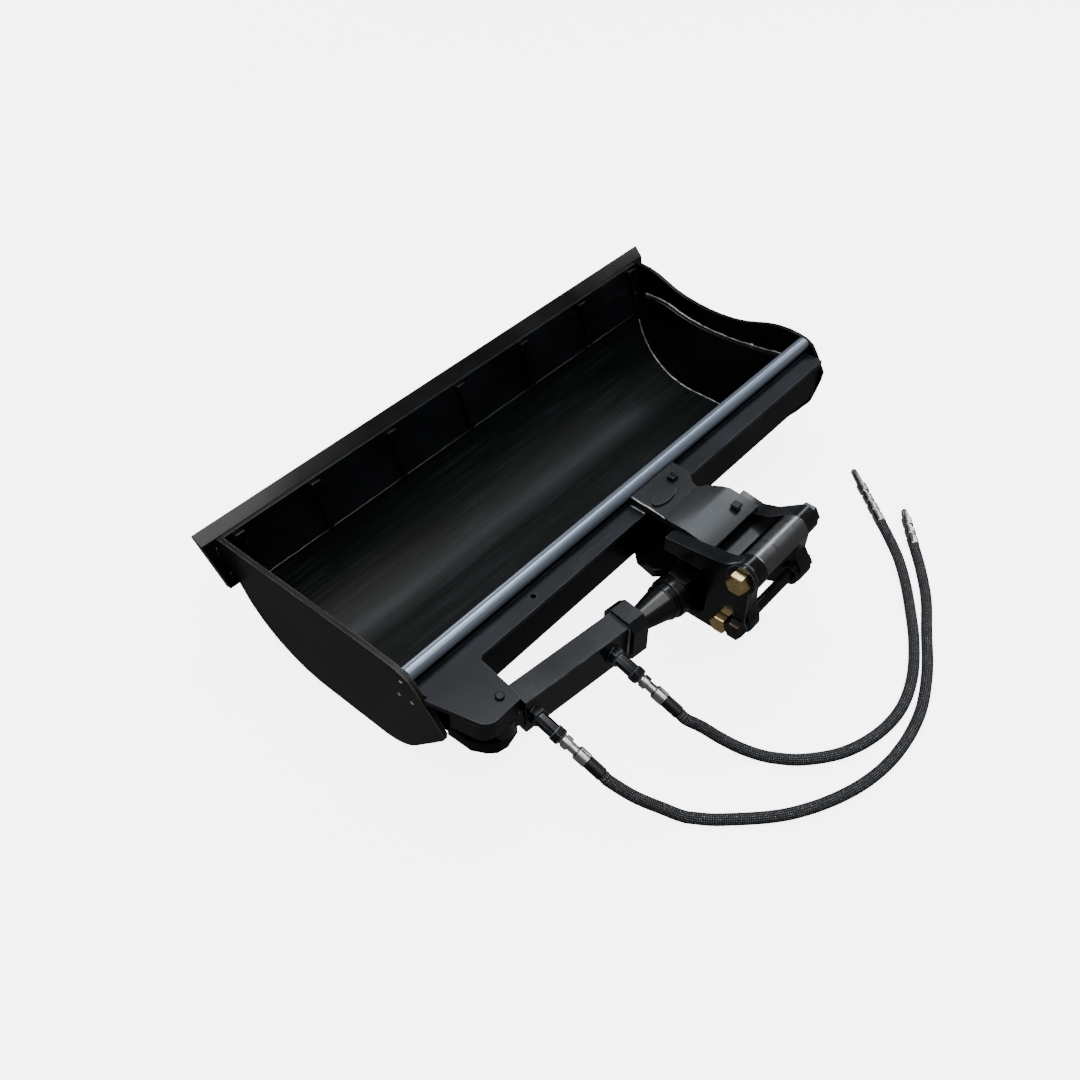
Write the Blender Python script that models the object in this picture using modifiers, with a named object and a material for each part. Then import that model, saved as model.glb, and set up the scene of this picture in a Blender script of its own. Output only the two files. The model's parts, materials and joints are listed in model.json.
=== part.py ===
# Hydraulic tilting ditch bucket, lying on its belly: +X along the width, +Y to the cutting edge, +Z up.
# Sections are written from the front top corner of the side plates: y towards the edge, z from the rim plane.
import math

import bmesh
import bpy
from mathutils import Matrix, Vector

# overall
edgeWidth = 1.000
shellDepth = 0.200
gap = 0.0003
slack = 0.0003
roundSteps = 40

# side plates, leaning in towards the belly
plateX = 0.474
plateThick = 0.008
plateLean = 0.075
linerThick = 0.008

# cutting edge and front plate
tipY = 0.025
tipZ = 0.012
edgeLength = 0.100
edgeEndCut = 0.018
wallThick = 0.008
wallFootY = -0.025
wallFootZ = -0.083
ribPitch = 0.1527
ribEndX = 0.444
ribWidth = 0.007
ribProud = 0.009
ribHeadWidth = 0.016
ribHeadHeight = 0.013

# curved floor
shellThick = 0.008
frontArcY = -0.165
frontArcR = 0.1524
rearArcY = -0.285
rearArcR = 0.090
shellTopY = -0.3625
shellTopZ = -0.0226

# rim bar and box beam behind it
rimR = 0.011
rimY = -0.356
rimZ = -0.011
beamBackY = -0.397
beamTopZ = -0.026
beamPlate = 0.008
beamDeep = 0.066
stripHoleX = -0.251
stripHoleY = -0.380
stripHoleR = 0.0045

# cylinder foot lugs
footX = -0.405
footY = -0.459
footPinR = 0.010
footPinTopR = 0.0066
earNoseY = -0.480
earRightX = -0.387
skirtThick = 0.008
skirtHigh = 0.028
footLowZ = -0.0923
footLowThick = 0.012
footBandHigh = 0.018

# tilt pivot
pivotX = 0.014
pivotY = -0.455
pivotPinR = 0.014
lugTopZ = -0.010
lugThick = 0.0157
lugNoseR = 0.038
lowLugZ = -0.0923
lowLugThick = 0.016
lowLugR = 0.027
headTubeR = 0.026

# tilt head
earLeftOut = -0.063
earLeftIn = -0.038
earRightIn = 0.065
earRightOut = 0.093
headPlateTopZ = -0.027
headPlateThick = 0.015
headFloorZ = -0.1126
headFloorThick = 0.0114
headNoseR = 0.032
headBackY = -0.546
webThick = 0.011
coverZ = 0.0005
coverThick = 0.006
coverCreaseY = -0.473
coverBackY = -0.521
coverDrop = 0.007

# hitch pins
pinOneY = -0.587
pinOneZ = 0.003
pinOneR = 0.010
pinTwoY = -0.595
pinTwoZ = -0.084
pinTwoR = 0.0085
sleeveR = 0.021
bossOneR = 0.024
bossFarR = 0.020
bossTwoR = 0.017
strapThick = 0.006
nutFlat = 0.030
nutHigh = 0.015
nutBlind = 0.60
pinInNut = 0.50
studY = -0.568
studZ = -0.097

# tilt cylinder, s is the distance along it from its foot pin
rodPinX = -0.010
rodPinY = -0.505
cylZ = -0.0768
boxWide = 0.038
boxTall = 0.062
boxStart = 0.027
boxEnd = 0.212
boreR = 0.014
glandWide = 0.058
glandTall = 0.074
glandLong = 0.028
rodR = 0.009
coneStart = 0.2415
coneEnd = 0.297
coneSmallR = 0.0155
coneBigR = 0.026
collarR = 0.028
collarEnd = 0.309
ringR = 0.031
ringEnd = 0.325
eyeR = 0.024
eyeTall = 0.060
eyeNeck = 0.016
rodPinR = 0.009
eyeSlack = 0.0028
footEyeR = 0.020
footEyeTall = 0.027

# ports and hoses
portS = (0.040, 0.183)
elbowR = 0.010
fittingDown = 0.52
fittingAcross = 0.13
nippleR = 0.0095
ferruleR = 0.0100
sleeveEndR = 0.0092
hoseR = 0.0086
hoseFloor = 0.0092

backMost = pinOneY - bossOneR
shiftY = -(tipY + backMost) / 2
shift = Vector((0, shiftY, shellDepth))

boom = math.atan2(rodPinY - footY, rodPinX - footX)
cylSpan = math.hypot(rodPinX - footX, rodPinY - footY)
along = Vector((math.cos(boom), math.sin(boom), 0))
across = Vector((-math.sin(boom), math.cos(boom), 0))

for leftover in list(bpy.data.objects):
    bpy.data.objects.remove(leftover, do_unlink=True)

scene = bpy.context.scene
pieces = bpy.data.collections.new("tilt_ditch_bucket")
cutters = bpy.data.collections.new("cutters")
scene.collection.children.link(pieces)
scene.collection.children.link(cutters)
madeMaterials = {}


def paint(name, colour, rough, metal):
    material = bpy.data.materials.new(name)
    material.use_nodes = True
    shader = material.node_tree.nodes["Principled BSDF"]
    shader.inputs["Base Color"].default_value = (*colour, 1)
    shader.inputs["Roughness"].default_value = rough
    shader.inputs["Metallic"].default_value = metal
    madeMaterials[name] = material


def makeMaterials():
    paint("black_paint", (0.016, 0.017, 0.018), 0.34, 0.0)
    paint("satin_paint", (0.055, 0.055, 0.054), 0.45, 0.0)
    paint("worn_paint", (0.11, 0.115, 0.12), 0.38, 0.2)
    paint("bright_steel", (0.50, 0.50, 0.49), 0.30, 1.0)
    paint("chrome_rod", (0.62, 0.62, 0.62), 0.12, 1.0)
    paint("zinc", (0.62, 0.62, 0.60), 0.25, 1.0)
    paint("gold_zinc", (0.62, 0.43, 0.20), 0.30, 1.0)
    paint("dark_steel", (0.09, 0.075, 0.06), 0.45, 0.8)
    paint("seal_rubber", (0.02, 0.02, 0.02), 0.60, 0.0)
    paint("hose_sleeve", (0.03, 0.03, 0.032), 0.55, 0.0)
    paint("bronze", (0.45, 0.30, 0.14), 0.40, 1.0)


def addMesh(name, verts, faces, material, smooth=False, home=None):
    mesh = bpy.data.meshes.new(name)
    mesh.from_pydata([tuple(v) for v in verts], [], faces)
    mesh.update()
    built = bmesh.new()
    built.from_mesh(mesh)
    bmesh.ops.recalc_face_normals(built, faces=built.faces)
    built.to_mesh(mesh)
    built.free()
    for polygon in mesh.polygons:
        polygon.use_smooth = smooth
    piece = bpy.data.objects.new(name, mesh)
    (home or pieces).objects.link(piece)
    if material:
        mesh.materials.append(madeMaterials[material])
    return piece


def leaned(point):
    # the side plates come in by the lean for each metre below the rim
    side = 1 if point.x > 0 else -1
    return Vector((point.x + side * plateLean * min(point.z, 0), point.y, point.z))


def prism(name, outline, low, high, material, axis="x", lean=False, smooth=False, home=None):
    # a flat outline pushed from low to high along one axis
    count = len(outline)
    verts = []
    for level in (low, high):
        for u, v in outline:
            if axis == "x":
                point = Vector((level, u, v))
            elif axis == "y":
                point = Vector((u, level, v))
            else:
                point = Vector((u, v, level))
            verts.append(leaned(point) if lean else point)
    faces = [tuple(range(count)), tuple(range(2 * count - 1, count - 1, -1))]
    for i in range(count):
        j = (i + 1) % count
        faces.append((i, j, count + j, count + i))
    return addMesh(name, verts, faces, material, smooth, home)


def frameOf(start, direction):
    z = Vector(direction).normalized()
    helper = Vector((0, 0, 1)) if abs(z.z) < 0.9 else Vector((1, 0, 0))
    x = helper.cross(z).normalized()
    y = z.cross(x)
    return Matrix.Translation(Vector(start)) @ Matrix((x, y, z)).transposed().to_4x4()


def lathe(name, profile, start, direction, material, steps=roundSteps, closed=False, home=None, turn=0.0):
    # a profile of (distance along, radius) turned about an axis; closed joins its ends into a ring
    place = frameOf(start, direction)
    verts = []
    for distance, radius in profile:
        for k in range(steps):
            angle = 2 * math.pi * (k + turn) / steps
            verts.append(place @ Vector((radius * math.cos(angle), radius * math.sin(angle), distance)))
    faces = []
    rows = len(profile)
    for r in range(rows if closed else rows - 1):
        n = (r + 1) % rows
        for k in range(steps):
            m = (k + 1) % steps
            faces.append((r * steps + k, r * steps + m, n * steps + m, n * steps + k))
    if not closed:
        faces.append(tuple(range(steps - 1, -1, -1)))
        faces.append(tuple((rows - 1) * steps + k for k in range(steps)))
    return addMesh(name, verts, faces, material, True, home)


def rod(name, start, end, radius, material, steps=roundSteps, home=None):
    start, end = Vector(start), Vector(end)
    bevel = min(0.0008, (end - start).length / 4)
    span = (end - start).length
    profile = [(0, radius - bevel), (bevel, radius), (span - bevel, radius), (span, radius - bevel)]
    return lathe(name, profile, start, end - start, material, steps, home=home)


def ring(name, start, end, inner, outer, material, steps=roundSteps):
    start, end = Vector(start), Vector(end)
    span = (end - start).length
    bevel = min(0.0006, span / 4, (outer - inner) / 3)
    profile = [(0, inner), (0, outer - bevel), (bevel, outer), (span - bevel, outer), (span, outer - bevel)]
    profile.append((span, inner))
    return lathe(name, profile, start, end - start, material, steps, closed=True)


def hexNut(name, start, direction, flat, high, material, hole=0.0, home=None):
    # six flats with a turned crown on both faces
    place = frameOf(start, direction)
    corner = flat / 2 / math.cos(math.pi / 6)
    levels = [(0, 0.93), (high * 0.1, 1.0), (high * 0.84, 1.0), (high * 0.95, 0.90), (high, 0.66)]
    verts = []
    for level, scale in levels:
        for k in range(6):
            angle = math.pi / 3 * k
            verts.append(place @ Vector((corner * scale * math.cos(angle), corner * scale * math.sin(angle), level)))
    last = len(levels) - 1
    faces = [tuple(range(5, -1, -1)), tuple(6 * last + k for k in range(6))]
    for r in range(last):
        for k in range(6):
            m = (k + 1) % 6
            faces.append((r * 6 + k, r * 6 + m, r * 6 + 6 + m, r * 6 + 6 + k))
    nut = addMesh(name, verts, faces, material, home=home)
    if hole:
        reach = Vector(direction).normalized()
        drill(nut, Vector(start) - reach * 0.002, Vector(start) + reach * high * nutBlind, hole, 24)
    return nut


def arc(cy, cz, radius, first, last, count):
    points = []
    for k in range(count + 1):
        angle = math.radians(first + (last - first) * k / count)
        points.append((cy + radius * math.cos(angle), cz + radius * math.sin(angle)))
    return points


def cut(piece, cutter):
    cutter.hide_render = True
    cutter.display_type = "WIRE"
    boolean = piece.modifiers.new("cut", "BOOLEAN")
    boolean.operation = "DIFFERENCE"
    boolean.solver = "EXACT"
    boolean.object = cutter


def weldOn(piece, addition):
    addition.hide_render = True
    addition.display_type = "WIRE"
    boolean = piece.modifiers.new("weld", "BOOLEAN")
    boolean.operation = "UNION"
    boolean.solver = "EXACT"
    boolean.object = addition


def drill(piece, start, end, radius, steps=roundSteps):
    cut(piece, lathe(piece.name + "_drill", [(0, radius), ((Vector(end) - Vector(start)).length, radius)],
                     start, Vector(end) - Vector(start), None, steps, home=cutters))


def cylPoint(s, t=0.0, z=cylZ):
    return Vector((footX, footY, z)) + along * s + across * t


# ---- bucket body

wallLength = math.hypot(wallFootY, wallFootZ)
wallDown = Vector((0, wallFootY, wallFootZ)) / wallLength
wallOut = Vector((0, -wallDown.z, wallDown.y))


def makeEdge():
    # a flat bar behind the front plate, ground to a point at the lip, with its ends cut in below
    tip = Vector((0, tipY, tipZ))
    innerTop = wallOut * (wallThick + gap)
    outerFoot = tip + wallDown * edgeLength
    innerFoot = outerFoot - wallOut * (tip.dot(wallOut) - wallThick - gap)
    corners = [innerTop, tip, outerFoot, innerFoot]
    verts = []
    for side in (-1, 1):
        for corner in corners:
            pulled = edgeEndCut * (tipZ - corner.z) / edgeLength
            verts.append(Vector((side * (edgeWidth / 2 - pulled), corner.y, corner.z)))
    faces = [(0, 1, 2, 3), (7, 6, 5, 4), (0, 4, 5, 1), (1, 5, 6, 2), (2, 6, 7, 3), (3, 7, 4, 0)]
    edge = addMesh("cutting_edge", verts, faces, "black_paint")
    bevel = edge.modifiers.new("ground", "BEVEL")
    bevel.width = 0.0009
    bevel.segments = 1


def makeFrontPlate():
    top = Vector((0, 0, 0))
    foot = top + wallDown * wallLength
    outline = [(p.y, p.z) for p in (top, foot, foot + wallOut * wallThick, top + wallOut * wallThick)]
    inner = plateX - plateThick - gap
    prism("front_plate", outline, -inner, inner, "black_paint", lean=True)


def makeRib(number, x):
    # a square-headed stiffener standing on the inside of the front plate
    half = ribWidth / 2
    head = ribHeadWidth / 2
    low = wallLength - 0.003
    outline = [(-head, 0.004), (head, 0.004), (head, 0.004 + ribHeadHeight), (half, 0.008 + ribHeadHeight)]
    outline += [(half, low), (-half, low), (-half, 0.008 + ribHeadHeight), (-head, 0.004 + ribHeadHeight)]
    verts = []
    for proud in (gap, ribProud):
        for u, down in outline:
            verts.append(Vector((x + u, 0, 0)) + wallDown * down - wallOut * proud)
    count = len(outline)
    faces = [tuple(range(count)), tuple(range(2 * count - 1, count - 1, -1))]
    for i in range(count):
        j = (i + 1) % count
        faces.append((i, j, count + j, count + i))
    addMesh("front_rib_%d" % number, verts, faces, "black_paint")


def shellLine(inset, trim):
    # the floor's section from the front plate's foot round to the rim bar, moved in by inset
    front = arc(frontArcY, frontArcR - shellDepth, frontArcR - inset, -14.3 - trim, -90, 16)
    rear = arc(rearArcY, rearArcR - shellDepth, rearArcR - inset, -90, -180, 14)
    return front + rear + [(shellTopY + inset, shellTopZ)]


def makeFloor():
    outline = shellLine(0, 0.13) + shellLine(shellThick, 0.13)[::-1]
    inner = plateX - plateThick - gap
    prism("floor_shell", outline, -inner, inner, "black_paint", lean=True)


plateBelly = arc(rearArcY, rearArcR - shellDepth, rearArcR, -140, -90, 7)
plateBelly += arc(frontArcY, frontArcR - shellDepth, frontArcR, -90, -18, 14)
plateHeel = [(-0.372, -0.009), (-0.383, -0.024), (-0.401, -0.051), (-0.4185, -0.081), (-0.416, -0.094)]
plateHeel += [(-0.397, -0.117), (-0.376, -0.142)]
rightHeel = [(-0.372, -0.009), (-0.384, -0.024), (-0.402, -0.050), (-0.401, -0.066), (-0.3965, -0.090)]
rightHeel += [(-0.391, -0.114), (-0.373, -0.142)]
plateNose = [wallDown * (wallLength - 0.003) + wallOut * wallThick, wallDown * 0.001 + wallOut * wallThick]
plateNose = [(p.y, p.z) for p in plateNose] + [(0.0030, 0.0000)]
leftRim = [(-0.030, 0.000), (-0.150, 0.0015), (-0.290, 0.003), (-0.340, 0.002), (-0.353, -0.0005), (-0.363, -0.004)]
rightRim = [(-0.010, 0.001), (-0.030, 0.000), (-0.050, -0.004), (-0.070, -0.011), (-0.092, -0.0185)]
rightRim += [(-0.115, -0.0235), (-0.140, -0.0265), (-0.165, -0.028), (-0.190, -0.0275), (-0.215, -0.025)]
rightRim += [(-0.240, -0.0200), (-0.262, -0.0125), (-0.282, -0.0055), (-0.302, -0.001), (-0.325, 0.001)]
rightRim += [(-0.345, 0.000), (-0.360, -0.003)]


def makeSidePlates():
    outer = plateX
    inner = plateX - plateThick
    prism("side_plate_left", leftRim + plateHeel + plateBelly + plateNose, -outer, -inner, "satin_paint", lean=True)
    prism("side_plate_right", rightRim + rightHeel + plateBelly + plateNose, inner, outer, "satin_paint", lean=True)


def makeLiners():
    # a second plate inside each end, its wavy top edge below the rim, its foot on the floor
    top = [(-0.036, -0.049), (-0.055, -0.0475), (-0.074, -0.048), (-0.092, -0.051), (-0.109, -0.055)]
    top += [(-0.126, -0.058), (-0.144, -0.0605), (-0.178, -0.062), (-0.205, -0.0615), (-0.227, -0.060)]
    top += [(-0.263, -0.056), (-0.290, -0.052), (-0.312, -0.048), (-0.352, -0.044)]
    floor = shellLine(shellThick + gap, 4.0)
    low = [p for p in floor if p[1] < -0.090]
    outline = top + [(-0.3585, -0.060)] + low[::-1]
    face = plateX - plateThick - gap
    for side, label in ((-1, "left"), (1, "right")):
        ends = sorted((side * face, side * (face - linerThick)))
        prism("side_liner_" + label, outline, ends[0], ends[1], "black_paint", lean=True)


def makeRimBar():
    outline = arc(rimY, rimZ, rimR, 0, 360, 24)[:-1]
    inner = plateX - plateThick - gap
    prism("rim_bar", outline, -inner, inner, "worn_paint", lean=True, smooth=True)


def roundCorner(before, corner, after, radius, count):
    # the arc that rounds one corner of an outline
    a = (Vector(before) - Vector(corner)).normalized()
    b = (Vector(after) - Vector(corner)).normalized()
    half = a.angle(b) / 2
    centre = Vector(corner) + (a + b).normalized() * (radius / math.sin(half))
    first = Vector(corner) + a * (radius / math.tan(half)) - centre
    last = Vector(corner) + b * (radius / math.tan(half)) - centre
    swing = first.angle_signed(last)
    points = []
    for k in range(count + 1):
        turned = first.copy()
        turned.rotate(Matrix.Rotation(-swing * k / count, 2))
        points.append(tuple(centre + turned))
    return points


def beamInner(z):
    # the floor's outer face just behind the rim, for a given height
    share = (z - (rearArcR - shellDepth)) / (shellTopZ - (rearArcR - shellDepth))
    foot = rearArcY - rearArcR
    return foot + (shellTopY - foot) * max(share, 0)


def makeBeam():
    inner = plateX - plateThick - gap
    topLow = beamTopZ - beamPlate
    frontY = beamInner(topLow) - gap
    nose = [(-0.470, -0.3925), (-0.452, -0.466), (-0.438, earNoseY), (-0.402, earNoseY), (earRightX, earNoseY + 0.010)]
    notch = roundCorner((earRightX, -0.465), (-0.376, beamBackY), (-0.300, beamBackY), 0.008, 5)
    outline = [(-inner, frontY), (-inner, -0.3915), nose[0]]
    outline += roundCorner(nose[0], (-0.4475, earNoseY - 0.001), (-0.39, earNoseY), 0.020, 6)
    outline += roundCorner((-0.44, earNoseY), (earRightX, earNoseY), notch[0], 0.007, 4)
    outline += notch + [(inner, beamBackY), (inner, frontY)]
    top = prism("beam_top_plate", outline, topLow, beamTopZ, "worn_paint", axis="z", lean=False)
    for vertex in top.data.vertices:
        if abs(vertex.co.x) > inner - 0.0001 and vertex.co.y > -0.392:
            vertex.co = leaned(vertex.co)
        elif vertex.co.x > inner - 0.0001:
            vertex.co = leaned(vertex.co)
    drill(top, (stripHoleX, stripHoleY, topLow - 0.002), (stripHoleX, stripHoleY, beamTopZ + 0.002), stripHoleR, 20)
    drill(top, (footX, footY, topLow - 0.002), (footX, footY, beamTopZ + 0.002), footPinTopR + slack, 24)
    backLow = beamTopZ - beamDeep
    toe = beamInner(backLow) - 0.0016
    angle = [(beamBackY, topLow - gap), (beamBackY, backLow), (toe, backLow), (toe, backLow + beamPlate)]
    angle += [(beamBackY + beamPlate, backLow + beamPlate), (beamBackY + beamPlate, topLow - gap)]
    prism("beam_angle", angle, -inner, inner, "black_paint", lean=True)


def bandOutline(points, thick):
    # an open line given a thickness to its left
    outer = [Vector(p) for p in points]
    inner = []
    for i, p in enumerate(outer):
        a = outer[max(i - 1, 0)]
        b = outer[min(i + 1, len(outer) - 1)]
        t = (b - a).normalized()
        inner.append(p + Vector((-t.y, t.x)) * thick)
    return [tuple(p) for p in outer] + [tuple(p) for p in inner[::-1]]


def makeFootLugs():
    top = beamTopZ - beamPlate - gap
    line = [(-0.4605, -0.425)]
    line += roundCorner((-0.4605, -0.425), (-0.4490, earNoseY + 0.002), (-0.40, earNoseY + 0.002), 0.022, 7)
    line += roundCorner((-0.44, earNoseY + 0.002), (-0.3885, earNoseY + 0.002), (-0.381, -0.420), 0.009, 5)
    line += [(-0.3835, -0.440)]
    prism("foot_lug_skirt", bandOutline(line, skirtThick), top - skirtHigh, top, "satin_paint", axis="z")
    low = [(-0.447, -0.3925), (-0.447, -0.440), (-0.436, -0.462), (-0.424, -0.473), (-0.405, -0.4775)]
    low += [(-0.390, -0.474), (-0.3845, -0.462), (-0.3845, -0.3925), (-0.3845, -0.377), (-0.447, -0.377)]
    plate = prism("foot_lug_plate", low, footLowZ - footLowThick, footLowZ, "black_paint", axis="z")
    under = footLowZ - footLowThick
    band = [(-0.442, -0.398), (-0.441, -0.438), (-0.431, -0.457), (-0.421, -0.467), (-0.405, -0.471)]
    band += [(-0.394, -0.468), (-0.389, -0.458), (-0.389, -0.398)]
    weldOn(plate, prism("foot_lug_band", bandOutline(band, 0.007), under - footBandHigh, under + 0.004, None,
                        axis="z", home=cutters))
    drill(plate, (footX, footY, footLowZ - 0.05), (footX, footY, footLowZ + 0.002), footPinR + slack)
    shoulder = top - footLowZ + footLowThick
    head = shoulder + beamPlate + gap
    profile = [(0, footPinR - 0.001), (0.001, footPinR), (shoulder - 0.001, footPinR), (shoulder, footPinR - 0.001)]
    profile += [(shoulder, footPinTopR), (head + 0.0035, footPinTopR), (head + 0.0050, footPinTopR - 0.0018)]
    lathe("foot_pin", profile, (footX, footY, footLowZ - footLowThick), (0, 0, 1), "zinc")


def noseArc(radius, first, last, count):
    return arc(pivotX, pivotY, radius, first, last, count)


def makeBracket():
    inner = rimY - rimR - 0.001
    top = [(-0.024, inner), (0.078, inner), (0.078, -0.398), (0.062, -0.418), (0.053, -0.440)]
    top += noseArc(lugNoseR, 0, -180, 18)
    lug = prism("pivot_lug_top", top, lugTopZ - lugThick, lugTopZ, "satin_paint", axis="z")
    bevel = lug.modifiers.new("eased", "BEVEL")
    bevel.width = 0.0015
    bevel.segments = 1
    bevel.angle_limit = math.radians(50)
    bevel.limit_method = "ANGLE"
    drill(lug, (pivotX, pivotY, -0.05), (pivotX, pivotY, 0.01), pivotPinR + slack)
    low = [(-0.0200, -0.377), (pivotX + lowLugR, -0.377)] + noseArc(lowLugR, 0, -165, 16)
    low += [(-0.0400, -0.4520), (-0.0530, -0.4380), (-0.0460, -0.4040)]
    under = prism("pivot_lug_bottom", low, lowLugZ - lowLugThick, lowLugZ, "black_paint", axis="z")
    drill(under, (pivotX, pivotY, -0.13), (pivotX, pivotY, -0.08), pivotPinR + slack)
    web = [(beamBackY - gap, lugTopZ - lugThick - gap), (-0.4205, lugTopZ - lugThick - gap)]
    web += [(-0.4205, -0.060), (-0.4150, -0.084), (-0.4150, lowLugZ + gap), (beamBackY - gap, lowLugZ + gap)]
    prism("pivot_web", web, pivotX - webThick / 2, pivotX + webThick / 2, "black_paint")
    rod("pivot_pin", (pivotX, pivotY, -0.1310), (pivotX, pivotY, lugTopZ + 0.002), pivotPinR, "zinc")
    plate = [(0.006 + 0.025 * math.cos(a), -0.406 + 0.011 * math.sin(a)) for a in
             [2 * math.pi * k / 28 for k in range(28)]]
    prism("pin_lock_plate", plate, lugTopZ + gap, lugTopZ + 0.0042, "satin_paint", axis="z")
    squareBolt("lock_bolt", 0.047, -0.391, lugTopZ + gap)


def squareBolt(name, x, y, z):
    half = 0.0065
    outline = [(x - half, y - half), (x + half, y - half), (x + half, y + half), (x - half, y + half)]
    head = prism(name, outline, z, z + 0.007, "satin_paint", axis="z")
    bevel = head.modifiers.new("eased", "BEVEL")
    bevel.width = 0.0012
    bevel.segments = 1


# ---- tilt head

def makeHeadEars():
    boss = arc(pinOneY, pinOneZ, bossOneR, 62, 200, 14)
    heel = arc(pinTwoY, pinTwoZ, bossTwoR, 160, 275, 10)
    left = [(-0.457, -0.006), (-0.500, -0.001), (-0.540, 0.005), (-0.560, 0.010)] + boss
    left += [(-0.601, -0.026), (-0.602, -0.050), (-0.609, -0.068)] + heel
    left += [(-0.570, -0.116), (-0.556, -0.1270), (-0.457, -0.1270), (-0.457, headFloorZ)]
    left += [(-0.522, headFloorZ), (-0.531, -0.108), (-0.534, -0.100), (-0.534, -0.042), (-0.531, -0.034)]
    left += [(-0.523, -0.030), (-0.457, -0.030)]
    ear = prism("head_ear_left", left, earLeftOut, earLeftIn, "satin_paint")
    far = arc(pinOneY, pinOneZ, bossFarR, 60, 200, 14)
    farHeel = arc(pinTwoY, pinTwoZ, bossTwoR, 160, 280, 10)
    under = coverThick + gap
    right = [(-0.485, coverHeight(-0.485) - under), (coverBackY, coverHeight(coverBackY) - under)]
    right += [(-0.545, -0.004), (-0.566, 0.012)] + far
    right += [(-0.598, -0.024), (-0.597, -0.050), (-0.609, -0.068)] + farHeel
    right += [(-0.575, -0.118), (-0.562, -0.124), (-0.485, -0.124)]
    other = prism("head_ear_right", right, earRightIn, earRightOut, "black_paint")
    weldOn(other, rod("ear_pad", (earRightIn - 0.008, pinTwoY, pinTwoZ), (earRightIn + 0.004, pinTwoY, pinTwoZ),
                      0.016, None, home=cutters))
    for piece in (ear, other):
        bevel = piece.modifiers.new("cast", "BEVEL")
        bevel.width = 0.0035
        bevel.segments = 2
        bevel.limit_method = "ANGLE"
        bevel.angle_limit = math.radians(55)
    for piece in (ear, other):
        drill(piece, (-0.1, pinOneY, pinOneZ), (0.12, pinOneY, pinOneZ), pinOneR + slack)
        drill(piece, (-0.1, pinTwoY, pinTwoZ), (0.12, pinTwoY, pinTwoZ), pinTwoR + slack)
    drill(ear, (-0.1, studY, studZ), (earLeftIn - 0.006, studY, studZ), 0.0063, 24)


def makeHeadBody():
    inLeft = earLeftIn + gap
    inRight = earRightIn - gap
    outline = [(inLeft, headBackY), (inLeft, -0.470), (-0.022, -0.462)] + noseArc(headNoseR, 180, 0, 16)
    outline += [(0.050, -0.462), (inRight, -0.486), (inRight, headBackY)]
    top = prism("head_top_plate", outline, headPlateTopZ - headPlateThick, headPlateTopZ, "black_paint", axis="z")
    floor = prism("head_bottom_plate", outline, headFloorZ - headFloorThick, headFloorZ, "black_paint", axis="z")
    for piece in (top, floor):
        drill(piece, (pivotX, pivotY, -0.2), (pivotX, pivotY, 0.01), pivotPinR + 0.0003)
        drill(piece, (rodPinX, rodPinY, -0.2), (rodPinX, rodPinY, 0.01), rodPinR + slack)
    web = [(inLeft, headFloorZ + gap), (inRight, headFloorZ + gap)]
    web += [(inRight, headPlateTopZ - headPlateThick - gap), (inLeft, headPlateTopZ - headPlateThick - gap)]
    prism("head_web", web, headBackY, headBackY + webThick, "black_paint", axis="y")
    low = (pivotX, pivotY, lowLugZ + 0.0006)
    high = (pivotX, pivotY, headPlateTopZ - headPlateThick - gap)
    ring("head_tube", low, high, pivotPinR + 0.0030, headTubeR, "black_paint")
    ring("tube_bush", (pivotX, pivotY, lowLugZ + 0.0016), (pivotX, pivotY, headPlateTopZ - headPlateThick - 0.001),
         pivotPinR + slack, pivotPinR + 0.0027, "bronze")
    rod("rod_end_pin", (rodPinX, rodPinY, headFloorZ - headFloorThick), (rodPinX, rodPinY, lugTopZ - 0.004), rodPinR, "zinc")


def coverHeight(y):
    return coverZ - coverDrop * max(0, (coverCreaseY - y) / (coverCreaseY - coverBackY))


def makeCover():
    # a folded sheet over the pivot: level in front of the crease, sloping down behind it
    left = earLeftIn + gap
    front = [(left, coverCreaseY), (left, -0.445), (left + 0.003, -0.437), (left + 0.010, -0.4325), (0.044, -0.4325)]
    front += [(0.060, -0.444), (0.072, -0.462), (0.076, coverCreaseY)]
    back = [(0.076, coverCreaseY), (0.078, coverBackY), (left, coverBackY), (left, coverCreaseY)]
    edge = front + back[1:3]
    count = len(edge)
    verts = [Vector((x, y, coverHeight(y))) for x, y in edge]
    verts += [Vector((x, y, coverHeight(y) - coverThick)) for x, y in edge]
    n = len(front)
    faces = [tuple(range(n)), (0, n - 1, n, n + 1)]
    faces += [tuple(count + k for k in range(n - 1, -1, -1)), (count + n + 1, count + n, count + n - 1, count)]
    for i in range(count):
        j = (i + 1) % count
        faces.append((i, j, count + j, count + i))
    addMesh("head_cover", verts, faces, "satin_paint")
    squareBolt("cover_bolt", 0.050, -0.500, coverHeight(-0.494) + gap)


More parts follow.
